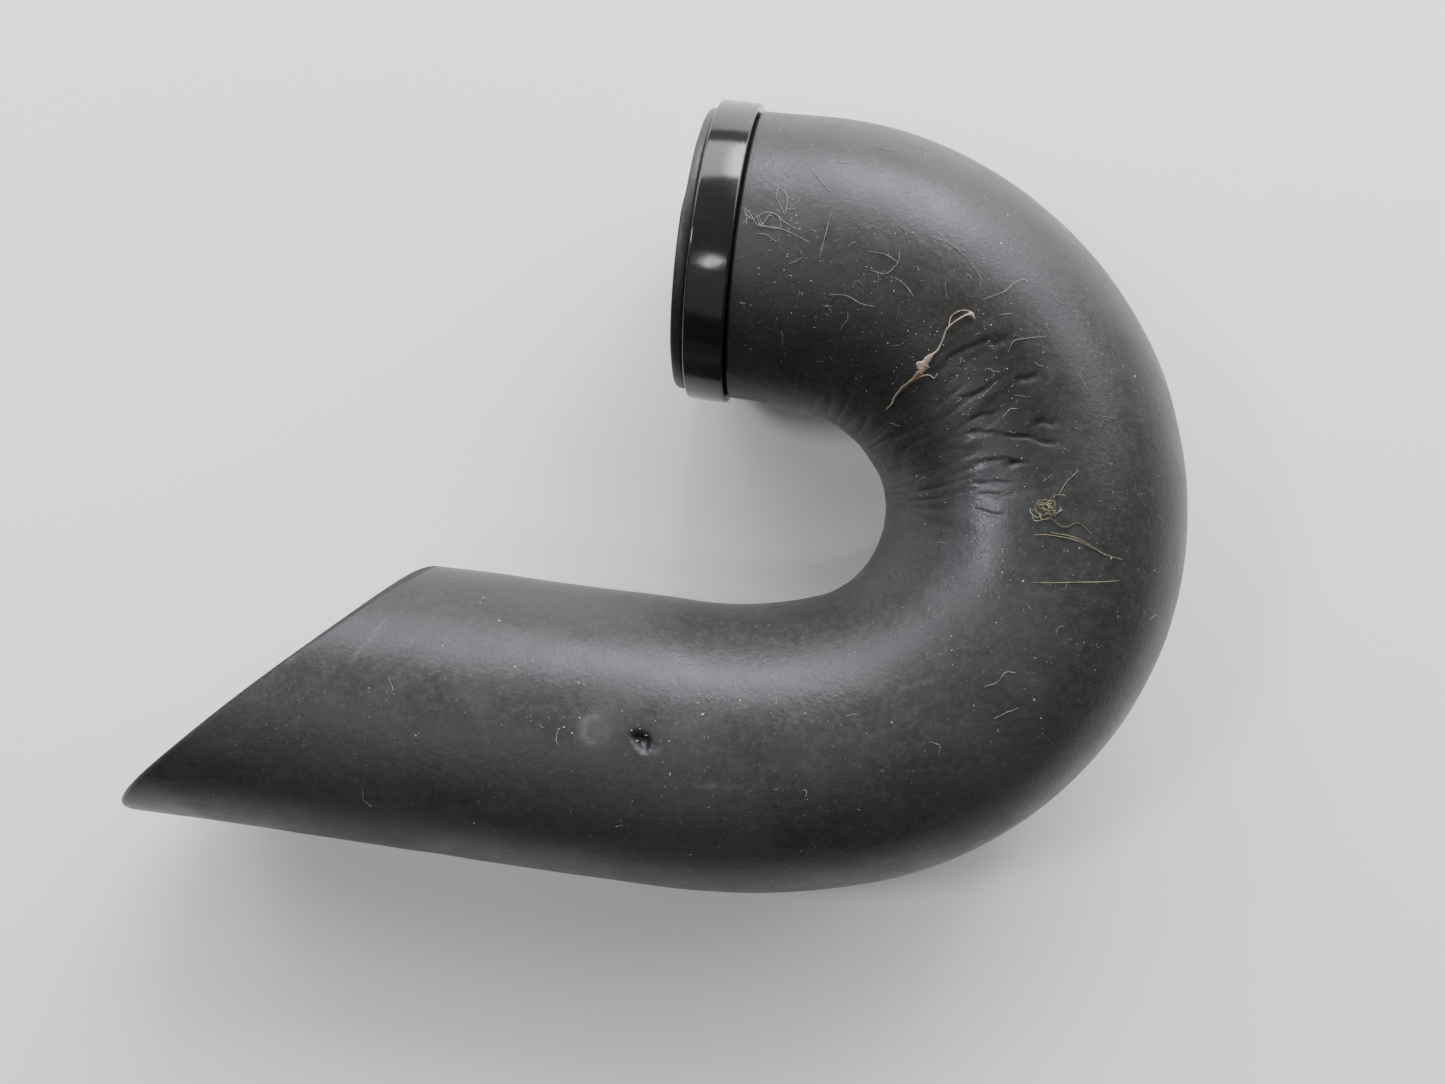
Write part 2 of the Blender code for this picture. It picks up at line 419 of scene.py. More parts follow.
foam = {
    "bore": 0.0253,
    "radii": [  # outside radius at distances along the tube
        (0.0130, 0.0341), (0.0300, 0.0347), (0.0600, 0.0351), (0.1000, 0.0355), (0.1400, 0.0359),
        (0.1800, 0.0352), (0.2200, 0.0346), (0.2600, 0.0346), (0.3400, 0.0338),
    ],
    "radiusEase": 0.0100,
    "lipRadius": 0.0336,
    "lipLength": 0.0031,
    "lipWave": 0.00022,
    "cutBack": 0.00055,
    "cutBackAngle": 83.0,
    "neck": 0.0326,
    "neckEnd": 0.01262,
    "bodyStart": 0.0136,
    "legStart": 0.2550,
    "bodyLoops": 300,
    "legLoops": 76,
    "around": 200,
    "topDensity": 0.34,  # how much closer the points lie on the upper inner side
    "densest": 112.0,
    "rimRound": 0.0013,
    "tipRound": 0.0040,  # more at the thin tip
    "heelRound": 0.0022,  # and more at the short side
    "boreLoops": 44,
    "lumps": [(0.0220, 9, 0.00022), (0.0080, 26, 0.00007), (0.0026, 80, 0.000022)],
    # (place, angle, half length, half width in degrees, depth)
    "dents": [(0.0940, 101.0, 0.0190, 15.0, 0.0017), (0.0700, 92.0, 0.0090, 9.0, 0.0005)],
    # (place, angle) at both ends, half width, depth
    "creases": [
        (0.0896, 121.0, 0.0945, 110.0, 0.00065, 0.00035),
        (0.0945, 110.0, 0.1015, 91.0, 0.00058, 0.00043),
        (0.0693, 111.0, 0.0735, 93.0, 0.00079, 0.00030),
        (0.0740, 96.0, 0.0752, 89.0, 0.00094, 0.00039),
        (0.0838, 97.0, 0.0858, 88.0, 0.00079, 0.00043),
        (0.0950, 98.0, 0.0962, 89.0, 0.00086, 0.00035),
        (0.0800, 117.0, 0.0822, 105.0, 0.00058, 0.00026),
        (0.0865, 118.0, 0.0885, 107.0, 0.00058, 0.00030),
        (0.0995, 122.0, 0.1040, 101.0, 0.00065, 0.00026),
        (0.1060, 124.0, 0.1085, 109.0, 0.00065, 0.00022),
        (0.1105, 122.0, 0.1120, 108.0, 0.00065, 0.00017),
        (0.1155, 124.0, 0.1175, 113.0, 0.00072, 0.00017),
    ],
    # folds: middle and half width in degrees, the places over which they rise and fade, the pitch along
    # the tube, the length round it in degrees, the depth and the sharpness
    "topFolds": {
        "angle": 110.0, "width": 12.0, "rise": (0.060, 0.076), "fade": (0.128, 0.104),
        "pitch": 0.0036, "length": 24.0, "depth": 0.00036, "sharpness": 2.2,
    },
    "innerRibs": {
        "angle": 163.0, "width": 25.0, "rise": (0.020, 0.045), "fade": (0.148, 0.115),
        "pitch": 0.0036, "length": 34.0, "depth": 0.00026, "sharpness": 2.6,
    },
    "foldBend": (0.9, 0.0110, 24.0),  # how far the folds wander, and over what length and angle
    "foldSkew": (106.0, 0.00007),  # the folds lean by this length for each degree from the angle
    "meanRadius": 0.0350,  # turns an angle round the sleeve into a length
    "puncture": (0.2420, 97.0, 0.0018, 1.6, 0.0020),
    "pits": [
        (0.2412, 94.6, 0.0012, 1.5, 0.0010),
        (0.2437, 98.3, 0.0012, 1.0, 0.0008),
        (0.1031, 109.0, 0.0011, 1.6, 0.0006),
        (0.2390, 95.0, 0.0008, 1.0, 0.0006),
    ],
    "smudge": (0.2525, 98.5, 0.0030, 0.0005),  # place, angle, radius and half width of a pale round smear
    # pale scuffs: (place, angle) at both ends, half width, strength
    "scuffs": [
        (0.3030, 130.0, 0.3080, 111.0, 0.0003, 0.6),
        (0.3195, 118.0, 0.3225, 106.0, 0.0008, 0.5),
        (0.2985, 104.0, 0.3050, 101.0, 0.0003, 0.3),
        (0.2180, 82.0, 0.2300, 84.0, 0.0004, 0.25),
        (0.1700, 106.0, 0.1790, 110.0, 0.0005, 0.2),
    ],
    "polishAndHighlight": (0.1180, 125.0, 0.0220, 9.0),  # place, angle, half length and half width of the smoother part, which also gets a painted highlight in its colour
    "waver": 0.00035,
    "heelReach": 0.0025,
    "tipBlunt": 0.0015,
    "tones": {
        "dark": (0.0175, 0.0175, 0.0165), "light": (0.032, 0.032, 0.030), "dust": (0.036, 0.035, 0.034),
        # rubbed: a painted highlight, pale and bluish, for the inner side of the bend
        "grime": (0.030, 0.027, 0.022), "felt": (0.042, 0.042, 0.039), "paintedHighlight": (0.075, 0.075, 0.080),
        # fold: painted shade, near black, laid into the folds, creases, dents and pits
        "scuff": (0.16, 0.155, 0.15), "fold": (0.004, 0.004, 0.004), "cut": (0.024, 0.024, 0.024),
        "finest": (0.30, 0.29, 0.27), "specks": (0.42, 0.40, 0.37),
    },
}


def bodyRadius(place):
    # the listed radii joined by straight lines, averaged over five nearby places
    places, radii = zip(*foam["radii"])
    shifts = np.linspace(-1.0, 1.0, 5) * foam["radiusEase"]
    return np.mean([np.interp(place + shift, places, radii) for shift in shifts], axis=0)


def pillow(noise, sharpness):
    # 0 in a sharp valley where the noise is 0, towards 1 on its rounded crests
    return 1.0 - np.exp(-np.abs(noise) * sharpness)


def foldHeight(place, angle, fold, noise):
    # depth x (0.7 - pillow of the noise), inside the fold's area
    area = hill(angleFrom(angle, fold["angle"]), fold["width"]) * ramp(place, *fold["rise"])
    area = area * ramp(place, *fold["fade"])
    return area * fold["depth"] * (0.7 - pillow(noise, fold["sharpness"]))


def creaseDepth(place, angle, crease):
    # depth x hill(distance to the line between the crease's ends), fading at both ends
    place0, angle0, place1, angle1, width, depth = crease
    roundScale = foam["meanRadius"] * math.pi / 180
    x, y = place - place0, angleFrom(angle, angle0) * roundScale
    dx, dy = place1 - place0, (angle1 - angle0) * roundScale
    length = math.hypot(dx, dy)
    share = (x * dx + y * dy) / length ** 2
    across = (x * dy - y * dx) / length
    across = across + 0.0005 * softNoise(share * 4.0, share * 0.0 + place0 * 1e4, 31)
    return depth * hill(across, width * 0.6) * ramp(share, -0.12, 0.2) * ramp(share, 1.12, 0.8)


def sleeveRadius(place, angle):
    # body radius + lumps - dents - folds of the bend - creases - pits
    turnShare = angle / (2 * np.pi)
    radius = bodyRadius(place)
    for seed, (pitch, cells, height) in enumerate(foam["lumps"]):
        radius = radius + height * softNoise(place / pitch, turnShare * cells, seed, cells)
    for middle, degrees, length, width, depth in foam["dents"]:
        radius = radius - depth * hill(place - middle, length) * hill(angleFrom(angle, degrees), width)
    # folds: noise stretched round the tube, bent a little by a slower noise
    turned = np.degrees(angle)
    size, length, span = foam["foldBend"]
    bend = size * softNoise(place / length, turned / span, 7)
    middle, lean = foam["foldSkew"]
    skew = angleFrom(angle, middle) * lean
    fold = foam["topFolds"]
    noise = softNoise((place - skew) / fold["pitch"] + bend, turned / fold["length"] + bend, 8)
    radius = radius - foldHeight(place, angle, fold, noise)
    fold = foam["innerRibs"]
    noise = softNoise(place / fold["pitch"] + 0.7 * bend, turned / fold["length"], 9)
    radius = radius - foldHeight(place, angle, fold, noise)
    for crease in foam["creases"]:
        radius = radius - creaseDepth(place, angle, crease)
    for middle, degrees, length, width, depth in [foam["puncture"]] + foam["pits"]:
        radius = radius - depth * hill(place - middle, length * 0.6) * hill(angleFrom(angle, degrees), width)
    return radius


def sleeveAngles():
    # angle = u - density sin(u - densest): the points crowd round the densest angle
    u = np.linspace(0.0, 2 * np.pi, foam["around"], endpoint=False)
    return u - foam["topDensity"] * np.sin(u - math.radians(foam["densest"]))


def lipShape(angle):
    # the lip's wavy edge, which is cut back a little on its upper part
    wave = foam["lipWave"] * softNoise(angle * 0.0 + 3.3, angle / (2 * np.pi) * 16, 12, 16)
    fromStep = angleFrom(angle, foam["cutBackAngle"])
    cutBack = foam["cutBack"] * ramp(fromStep, 6.0, -6.0) * ramp(fromStep, -110.0, -80.0)
    return 0.0001 + cutBack + np.abs(wave), wave


def lipRows(edge, wave):
    # (place, radius) from the bore over the end face and the lip, down to the neck under the ring
    bore, lip, end, neck = (foam[key] for key in ("bore", "lipRadius", "lipLength", "neck"))
    rows = [
        (edge + 0.0004, bore + 0.0002),
        (edge + 0.0001, bore + 0.0006),
        (edge, 0.0280),
        (edge, 0.0310),
        (edge + 0.00002, lip - 0.0006 + wave),
        (edge + 0.0001, lip - 0.0003 + wave),
        (edge + 0.00025, lip - 0.0001 + wave),
        (edge + 0.0005, lip + wave),
        (end - 0.0008, lip + 0.0001 + wave),
        (end - 0.0003, lip - 0.0001 + wave),
        (end, lip - 0.0004),
        (end + 0.0003, neck),
        (foam["neckEnd"] - 0.0003, neck),
    ]
    return [(place + 0 * wave, radius + 0 * wave) for place, radius in rows]


def shoulderRows(angle):
    # the foam swells out of the ring: radius = neck + (body - neck) sin(share x quarter turn)^0.55
    neck, first = foam["neck"], foam["neckEnd"]
    rows = []
    for share in np.linspace(0.0, 1.0, 7):
        place = first + share * (foam["bodyStart"] - first) + 0 * angle
        swell = math.sin(share * math.pi / 2) ** 0.55
        rows.append((place, neck + (sleeveRadius(place, angle) - neck) * swell))
    return rows


def bodyRows(angle):
    places = bodyStations()[:, None] + 0 * angle
    return list(zip(places, sleeveRadius(places, np.broadcast_to(angle, places.shape))))


def slantPlace(angle, radius):
    # on the mouth's cut, place = cut + radius cos angle + waver; the short side stands out, the tip is blunt
    waver = foam["waver"] * softNoise(angle / (2 * np.pi) * 11, angle * 0 + 5.5, 14, 64)
    waver = waver * ramp(np.abs(angleFrom(angle, 0.0)), 0.0, 20.0)
    waver = waver + foam["heelReach"] * hill(angleFrom(angle, 180.0), 30.0)
    waver = waver - foam["tipBlunt"] * hill(angleFrom(angle, 0.0), 20.0)
    return walk["cut"] + radius * np.cos(angle) + waver


def legRows(angle, rounding):
    # these loops lean over from square to the tube to the mouth's slant
    outer = sleeveRadius(walk["cut"] + 0.030 * np.cos(angle), angle)
    last = slantPlace(angle, outer) - rounding
    share = 1.0 - (1.0 - np.linspace(0.0, 1.0, foam["legLoops"] + 1)[1:]) ** 1.25
    places = foam["legStart"] + share[:, None] * (last[None] - foam["legStart"])
    return list(zip(places, sleeveRadius(places, np.broadcast_to(angle, places.shape))))


def rimRows(angle, start, inward):
    # (1-t)^2 A + 2t(1-t) corner + t^2 B round the mouth's edge, then straight across the cut face
    radius = start[1]
    corner = (slantPlace(angle, radius), radius)
    end = (slantPlace(angle, radius - inward), radius - inward)
    rows = []
    for t in np.linspace(0.0, 1.0, 8)[1:]:
        curve = [(1 - t) ** 2 * a + 2 * t * (1 - t) * b + t * t * c for a, b, c in zip(start, corner, end)]
        rows.append(tuple(curve))
    edge = rows[-1][1]
    for t in np.linspace(0.0, 1.0, 9)[1:]:
        across = edge + t * (foam["bore"] + 0.0002 - edge)
        rows.append((slantPlace(angle, across), across))
    return rows


def boreRows(angle, lipEdge):
    # back through the bore to the collar
    start = slantPlace(angle, foam["bore"]) - 0.0004
    radius = foam["bore"] + 0 * angle
    shares = np.linspace(0.0, 1.0, foam["boreLoops"])
    return [(start + share * (0.0008 + lipEdge - start), radius) for share in shares]


def sleeveGrid():
    # closed loops round the tube, out along the outside and back along the bore
    angle = sleeveAngles()
    lipEdge, lipWave = lipShape(angle)
    tip, heel = hill(angleFrom(angle, 0.0), 34.0), hill(angleFrom(angle, 180.0), 38.0)
    rounding = foam["rimRound"] + tip * foam["tipRound"] + heel * foam["heelRound"]
    inward = foam["rimRound"] + tip * foam["tipRound"] * 0.6 + heel * foam["heelRound"] * 0.6
    rows = lipRows(lipEdge, lipWave) + shoulderRows(angle) + bodyRows(angle) + legRows(angle, rounding)
    rows += rimRows(angle, rows[-1], inward)
    rows += boreRows(angle, lipEdge)
    places, radii = (np.array(column) for column in zip(*rows))
    return places, radii, np.broadcast_to(angle, places.shape)


def bodyStations():
    # places from the shoulder to the leg, closest together in the folded part of the bend
    fine = np.linspace(foam["bodyStart"], foam["legStart"], 4000)
    density = 1.0 + 1.25 * ramp(fine, 0.040, 0.062) * ramp(fine, 0.135, 0.112)
    density += 1.2 * hill(fine - foam["puncture"][0], 0.004)
    count = runningSum(density, fine)
    return np.interp(np.linspace(0.0, count[-1], foam["bodyLoops"]), count, fine)[1:]


def paleMarks(place, angle):
    # a round smear, strongest on its rim, and a few straight scuffs
    middle, degrees, radius, width = foam["smudge"]
    x, y = place - middle, angleFrom(angle, degrees) * foam["meanRadius"] * math.pi / 180
    patchy = 0.55 + 0.45 * softNoise(place / 0.0016, np.degrees(angle) / 3.0, 17)
    oneSide = 0.15 + 0.85 * ramp(x, -0.0015, 0.0025)
    reach = np.hypot(x, y)
    marks = 0.5 * hill(reach - radius, width) * patchy * oneSide + 0.14 * hill(reach, radius)
    for scuff in foam["scuffs"]:
        marks = marks + creaseDepth(place, angle, scuff) * patchy
    return np.clip(marks, 0.0, 1.0)


def foamMaterial():
    tones = foam["tones"]
    gloss = {"Specular_IOR_Level": 0.33, "Specular_Tint": (0.90, 0.93, 1.0, 1.0)}
    material, tree, shader, vector = newMaterial("charcoalFoam", (0.018, 0.018, 0.017), 0.42, **gloss)
    grain = useGroup(tree, "grain", vector, Scale=1500.0)
    dusty = useGroup(tree, "smears", vector, Scale=22.0, Low=0.42, High=0.72)
    grimy = useGroup(tree, "smears", vector, Scale=48.0, Low=0.52, High=0.75)
    felt = useGroup(tree, "smears", vector, Scale=520.0, Low=0.42, High=0.75)
    specks = useGroup(tree, "specks", vector, Scale=420.0, Share=0.16, Size=0.14)
    finest = useGroup(tree, "specks", vector, Scale=1100.0, Share=0.30, Size=0.26)
    fields = [
        addNode(tree, "ShaderNodeAttribute", attribute_name=name).outputs["Fac"]
        for name in ("foldShade", "cutFace", "paleMarks", "polishAndHighlight")
    ]
    fold, cut, marks, polishAndHighlight = fields
    colour = blendColours(tree, grain["Mottle"], tones["dark"], tones["light"])
    colour = blendColours(tree, scaled(tree, dusty["Mask"], 0.6), colour, tones["dust"])
    colour = blendColours(tree, scaled(tree, grimy["Mask"], 0.5), colour, tones["grime"])
    colour = blendColours(tree, scaled(tree, felt["Mask"], 0.55), colour, tones["felt"])
    # painted highlight: a pale bluish lift on the inner side of the bend; the same mask also lowers the
    # roughness below
    colour = blendColours(tree, scaled(tree, polishAndHighlight, 0.5), colour, tones["paintedHighlight"])
    # the middle pair paints shade, near black, into the folds, creases, dents and pits; scuffs and cut faces
    # are the foam's own colour
    for mask, tone in ((marks, "scuff"), (fold, "fold"), (cut, "cut")):
        colour = blendColours(tree, mask, colour, tones[tone])
    colour = blendColours(tree, scaled(tree, finest["Mask"], 0.25), colour, tones["finest"])
    colour = blendColours(tree, scaled(tree, specks["Mask"], 0.6), colour, tones["specks"])
    link(tree, colour, shader.inputs["Base Color"])
    rough = sums(tree, "ADD", scaled(tree, grain["Mottle"], 0.22), 0.26)
    for mask, share in ((dusty["Mask"], 0.14), (felt["Mask"], 0.06), (polishAndHighlight, -0.10)):
        rough = sums(tree, "ADD", rough, scaled(tree, mask, share))
    rough = sums(tree, "ADD", rough, scaled(tree, cut, 0.35), clamp=True)
    link(tree, rough, shader.inputs["Roughness"])
    normal = bumpOf(tree, shader, grain["Height"], 0.42, 0.00014)
    # cut cells show only on the faces that the knife made
    cells = addNode(tree, "ShaderNodeTexVoronoi", Scale=2600.0)
    link(tree, vector, cells.inputs["Vector"])
    bumpOf(tree, shader, sums(tree, "MULTIPLY", cells.outputs["Distance"], cut), 0.9, 0.0004, normal)
    return material


def makeSleeve():
    places, radii, angle = sleeveGrid()
    smooth = bodyRadius(places)
    onBody = (places > foam["bodyStart"]) & (radii > foam["neck"] + 0.0004)
    # painted shade: the deeper the sleeve sinks below its smooth radius in folds, creases and dents, the
    # darker it is painted; the puncture and two pits are darkened too
    fold = np.where(onBody, ramp(smooth - radii, 0.0009, 0.0026), 0.0)
    for hole in [foam["puncture"]] + foam["pits"][:2]:
        middle, degrees, length, width = hole[:4]
        hollow = hill(places - middle, length * 0.6) * hill(angleFrom(angle, degrees), width) * onBody
        fold = np.maximum(fold, np.clip(1.5 * hollow, 0.0, 1.0))
    slant = walk["cut"] + radii * np.cos(angle)
    cut = np.where((radii > foam["bore"] + 0.0001), ramp(slant - places, 0.0011, 0.0002), 0.0)
    cut = np.maximum(cut, ramp(places, 0.0020, 0.0005) * (radii < foam["lipRadius"] - 0.0005))
    marks = paleMarks(places, angle) * onBody * (1.0 - fold)
    # this mask makes the part smoother and also carries a painted highlight in its colour
    middle, degrees, length, width = foam["polishAndHighlight"]
    polishAndHighlight = hill(places - middle, length) * hill(angleFrom(angle, degrees), width) * onBody
    points = tubePoint(places, angle, radii)
    fields = {"foldShade": fold, "cutFace": cut, "paleMarks": marks, "polishAndHighlight": polishAndHighlight}
    piece = closedGrid("foamSleeve", points, foamMaterial(), "foam", **fields)
    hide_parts("foam_sleeve")


makeSleeve()
print("foam sleeve made")


ring = {
    "first": 0.0033,
    "width": 0.0093,
    "outer": 0.0357,
    "thickness": 0.0028,
    "crown": 0.00006,
    "edge": 0.0006,
    "around": 288,
}
pipe = {"first": 0.0138, "outer": 0.0250, "wall": 0.0025, "loops": 110, "around": 120, "edge": 0.0006}
cuff = {
    "recess": 0.0010,
    "shoulder": 0.0135,
    "end": 0.0255,
    "bore": 0.0194,
    "stopBore": 0.0178,
    "stop": 0.0210,
    "leadIn": 0.0012,
    "outer": 0.0250,
    "spigot": 0.0222,
    "edge": 0.0005,
    "around": 192,
}
seal = {"place": 0.0078, "radius": 0.0202, "section": 0.0015, "gap": 0.0003, "points": 24, "around": 192}


# colour, roughness, worn colour, wear, bump
finishes = {
    "glossyBlackRing": ((0.014, 0.014, 0.0142), 0.13, (0.02, 0.02, 0.02), 0.5, 0.03),
    "satinBlackPipe": ((0.022, 0.022, 0.023), 0.38, (0.09, 0.085, 0.075), 0.5, 0.25),
    "satinBlackCuff": ((0.017, 0.017, 0.018), 0.32, (0.07, 0.068, 0.062), 0.4, 0.2),
    "blackRubberSeal": ((0.014, 0.014, 0.014), 0.45, (0.04, 0.04, 0.04), 0.4, 0.15),
}


def plasticMaterial(name):
    colour, roughness, worn, wear, bump = finishes[name]
    material, tree, shader, vector = newMaterial(name, colour, roughness, Specular_IOR_Level=0.5)
    grain = useGroup(tree, "grain", vector, Scale=2600.0)
    film = useGroup(tree, "smears", vector, Scale=60.0, Low=0.5, High=0.8)
    specks = useGroup(tree, "specks", vector, Scale=500.0, Share=0.10, Size=0.16)
    lines = useGroup(tree, "hairlines", vector)
    shade = blendColours(tree, scaled(tree, film["Mask"], wear), colour, worn)
    shade = blendColours(tree, scaled(tree, specks["Mask"], 0.35), shade, (0.35, 0.34, 0.32))
    link(tree, shade, shader.inputs["Base Color"])
    rough = sums(tree, "ADD", scaled(tree, film["Mask"], 0.12), roughness)
    rough = sums(tree, "ADD", rough, scaled(tree, lines["Mask"], 0.10))
    rough = sums(tree, "ADD", rough, scaled(tree, specks["Mask"], 0.4), clamp=True)
    link(tree, rough, shader.inputs["Roughness"])
    bumpOf(tree, shader, grain["Height"], bump, 0.00004)
    return material


def makeRing():
    first, last = ring["first"], ring["first"] + ring["width"]
    inner, outer = ring["outer"] - ring["thickness"], ring["outer"]
    profile = [
        (first, inner), (first, outer), ((first + last) / 2, outer + ring["crown"]),
        (last, outer), (last, inner),
    ]
    shape = rounded(profile, ring["edge"], 9)
    material = plasticMaterial("glossyBlackRing")
    piece = turnedPiece("retainingRing", shape, ring["around"], material, "ring_plastic")
    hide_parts("retaining_ring")


def makePipe():
    # the wall's loops lean over from square at the collar end to the mouth's slant
    inner = pipe["outer"] - pipe["wall"]
    share = np.linspace(0.0, 1.0, pipe["loops"])
    angle = np.linspace(0.0, 2 * np.pi, pipe["around"], endpoint=False)
    last = walk["cut"] + np.cos(angle)[None] * np.array([[pipe["outer"]], [inner]]) - 0.0002
    outside = pipe["first"] + share[:, None] * (last[0] - pipe["edge"] - pipe["first"])
    inside = pipe["first"] + share[::-1, None] * (last[1] - pipe["edge"] - pipe["first"])
    rimShare = np.linspace(0.0, 1.0, 6)[1:-1, None]
    rimPlace = last[0] + rimShare * (last[1] - last[0])
    places = np.concatenate([outside, rimPlace, inside])
    radii = np.concatenate([
        np.full_like(outside, pipe["outer"]),
        np.zeros_like(rimPlace) + pipe["outer"] - rimShare * pipe["wall"],
        np.full_like(inside, inner),
    ])
    angles = np.broadcast_to(angle, places.shape)
    material = plasticMaterial("satinBlackPipe")
    piece = closedGrid("innerTube", tubePoint(places, angles, radii), material, "pipe_plastic")
    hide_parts("inner_tube")


def makeCuff():
    groove, floor = seal["section"] + seal["gap"], seal["radius"] + seal["section"] + seal["gap"]
    profile = [
        (cuff["recess"], cuff["outer"]),
        (cuff["shoulder"], cuff["outer"]),
        (cuff["shoulder"], cuff["spigot"]),
        (cuff["end"], cuff["spigot"]),
        (cuff["end"], cuff["stopBore"]),
        (cuff["stop"], cuff["stopBore"]),
        (cuff["stop"], cuff["bore"]),
        (seal["place"] + groove, cuff["bore"]),
        (seal["place"] + groove, floor),
        (seal["place"] - groove, floor),
        (seal["place"] - groove, cuff["bore"]),
        (cuff["recess"] + cuff["leadIn"], cuff["bore"]),
        (cuff["recess"], cuff["bore"] + cuff["leadIn"]),
    ]
    material = plasticMaterial("satinBlackCuff")
    shape = rounded(profile, cuff["edge"], 4)
    piece = turnedPiece("hoseCuff", shape, cuff["around"], material, "cuff_plastic")
    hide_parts("hose_cuff")


def makeSeal():
    # distance = place + section cos t, radius = ring radius + section sin t
    t = np.linspace(0.0, 2 * np.pi, seal["points"], endpoint=False)
    distance = seal["place"] + seal["section"] * np.cos(t)
    profile = np.stack([distance, seal["radius"] + seal["section"] * np.sin(t)], axis=1)
    material = plasticMaterial("blackRubberSeal")
    piece = turnedPiece("cuffSeal", profile, seal["around"], material, "seal_rubber")
    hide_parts("cuff_seal")


makeRing()
makePipe()
makeCuff()
makeSeal()
print("hard pieces made")


lint = {
    # hairs: (distance in mm, angle in degrees) along each one
    "paleHairs": [
        [(13.9, 84), (15.6, 86), (17.7, 90), (21.0, 90), (24.3, 91), (29.2, 94)],
        [(14.5, 86), (15.0, 88), (15.3, 91)],
        [(17.5, 93), (19.8, 93), (22.1, 95), (22.7, 94)],
        [(14.2, 85), (16.2, 88), (19.1, 85), (21.8, 86), (22.5, 90), (19.0, 90), (17.4, 86)],
        [(14.4, 90), (16.6, 86), (18.4, 90), (20.4, 85), (23.6, 88), (26.4, 90)],
        [(20.9, 75), (20.8, 79), (22.1, 82), (23.2, 85), (23.2, 79), (22.1, 76), (21.1, 75)],
        [(27.6, 66), (29.1, 70), (31.5, 75)],
        [(30.8, 60), (31.9, 61), (34.0, 60)],
        [(50.0, 79), (53.8, 78), (57.8, 79), (62.9, 82)],
        [(31.7, 99), (31.8, 94), (32.0, 88), (32.1, 82)],
        [(40.6, 93), (43.8, 92), (46.8, 93)],
        [(42.3, 99), (45.4, 98), (46.6, 93), (46.0, 89)],
        [(47.4, 98), (50.1, 99), (52.5, 101)],
        [(35.4, 111), (39.4, 110), (43.1, 111), (46.1, 110)],
        [(77.7, 93), (76.5, 89), (77.6, 85), (79.7, 79)],
        [(82.7, 110), (82.2, 106), (81.6, 102)],
        [(71.5, 146), (73.3, 144), (75.3, 143)],
        [(101.3, 148), (100.2, 145), (100.3, 143)],
        [(111.5, 116), (111.0, 114), (110.3, 111)],
        [(65.5, 87), (66.8, 83), (67.8, 79), (68.0, 75), (68.9, 71), (70.1, 71)],
        [(160.6, 93), (157.8, 91), (154.8, 91), (153.5, 88)],
        [(163.7, 82), (161.4, 81), (158.6, 79)],
        [(206.6, 82), (205.9, 81), (206.4, 78)],
        [(260.7, 97), (260.8, 93), (260.2, 91)],
        [(299.5, 107), (298.4, 104), (297.8, 102)],
        [(302.2, 62), (301.8, 57), (300.1, 55)],
    ],
    "straws": [
        [(133.5, 99), (130.7, 84), (128.4, 68)],
        [(121.0, 96), (121.7, 87), (124.6, 75)],
        [(121.9, 102), (121.6, 96), (122.2, 87), (124.1, 77), (124.7, 69)],
        [(112.4, 94), (109.8, 91), (108.3, 88), (107.5, 86)],
        [(114.5, 102), (115.5, 100), (113.9, 98), (116.5, 95), (115.0, 93)],
        [(116.0, 103), (114.0, 101), (114.8, 97), (116.0, 99)],
        [(113.6, 100), (115.4, 97), (117.0, 99), (115.6, 102), (114.2, 99)],
        [(117.5, 97), (119.5, 92), (118.5, 87), (120.5, 82)],
    ],
    "grass": [
        (66.4, 142), (66.5, 138), (65.4, 134), (65.6, 128), (66.2, 121), (65.3, 118), (65.1, 114),
        (65.4, 111), (64.6, 107), (63.6, 103), (64.5, 97), (65.6, 94), (67.2, 94),
    ],
    # side shoots: stops, half width, lift
    "shoots": [
        ([(66.3, 127), (66.7, 123), (68.2, 120), (70.3, 119), (70.0, 117)], 0.00018, 0.0006),
        ([(63.9, 103), (62.6, 99), (63.5, 95), (65.4, 93)], 0.00012, 0.0005),
    ],
    "degreesPerMm": 1.64,
    "hairWidth": 0.00005,
    "strawWidth": 0.00006,
    "grassWidth": 0.00019,
    "leafWidth": 0.00150,  # half width of the strand where it opens into a leaf
    "leafPlace": 0.40,
    "clump": (114.8, 99.0, 1.9),  # distance in mm, degrees and spread of a fuzzy knot
    "clumpHairs": 13,
    "looseHairs": 150,
    "flecks": 1700,
    # crumbs that lie at fixed places: (distance in mm, degrees, size in mm)
    "crumbs": [
        (244.8, 100.0, 0.25), (243.2, 96.4, 0.35), (241.4, 99.0, 0.30), (242.9, 101.0, 0.18),
        (256.7, 114.0, 0.38), (257.9, 114.6, 0.22), (229.2, 109.0, 0.34), (230.6, 113.0, 0.20),
        (257.5, 96.0, 0.30), (259.5, 97.6, 0.24), (260.4, 97.0, 0.16), (303.3, 102.0, 0.20),
        (297.6, 101.0, 0.18), (283.6, 148.0, 0.20), (254.5, 95.0, 0.16), (252.9, 103.0, 0.14),
    ],
    "seed": 21,
}


def skinPoint(path):
    # rows of (distance in mm, degrees, lift in metres) to points on the sleeve
    angle = np.radians(path[:, 1])
    place = path[:, 0] / 1000
    return tubePoint(place, angle, sleeveRadius(place, angle) + path[:, 2])


def skinOutward(path, points):
    # towards the same places 1 mm further out
    return skinPoint(path + [0.0, 0.0, 0.001]) - points


